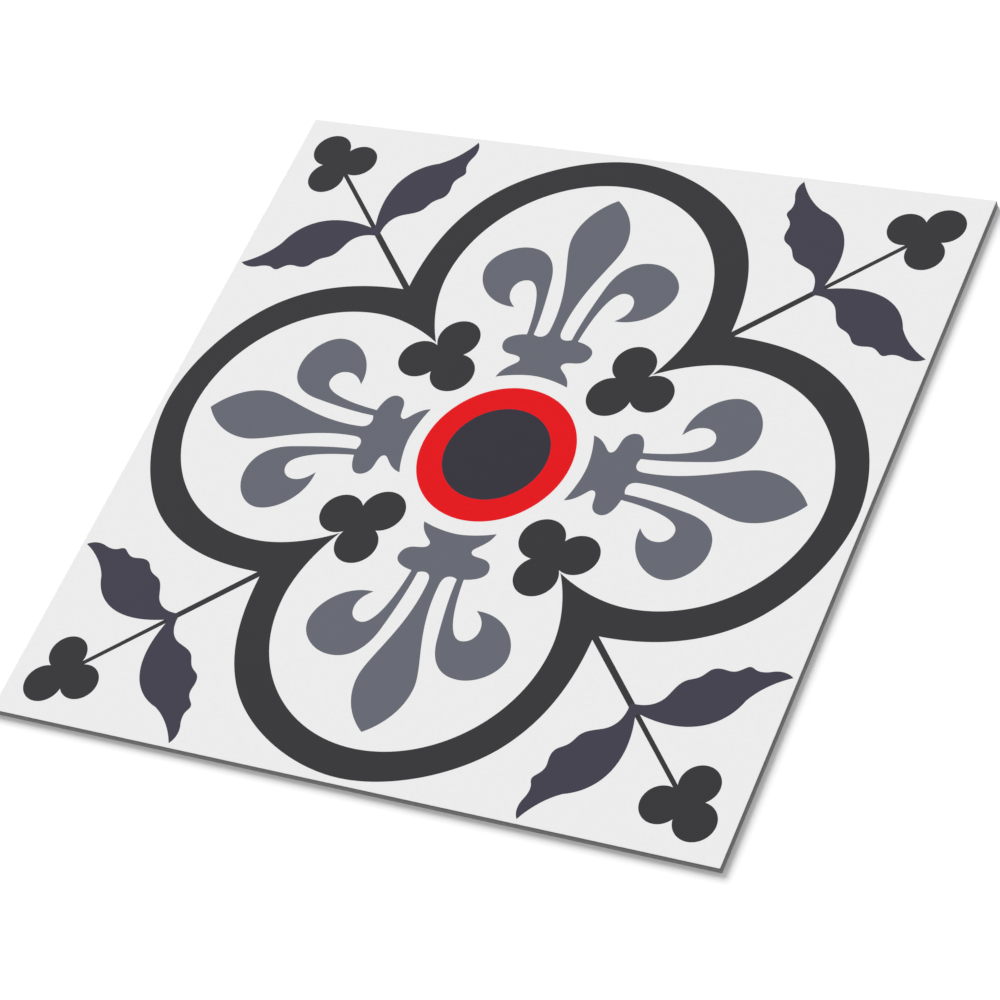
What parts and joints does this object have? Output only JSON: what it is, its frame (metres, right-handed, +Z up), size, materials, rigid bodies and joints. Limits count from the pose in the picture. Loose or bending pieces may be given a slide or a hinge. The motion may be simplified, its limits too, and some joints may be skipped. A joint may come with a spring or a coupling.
{
  "type": "vinyl floor tile",
  "caption": "Square printed vinyl floor tile: a quatrefoil band holds fleurs-de-lis and trefoils around a ringed disc, with leafy trefoil sprigs in the corners.",
  "frame": {"origin": "middle of the underside, which is the face that is glued to the floor", "axes": "+Z up through the wear face, with the tile's edges along X and Y"},
  "size_m": [0.305, 0.305, 0.003],
  "materials": {
    "printed_vinyl": "printed PVC under a clear satin wear layer"
  },
  "bodies": {
    "root": {"vinyl_tile": "printed_vinyl"}
  },
  "joints": []
}
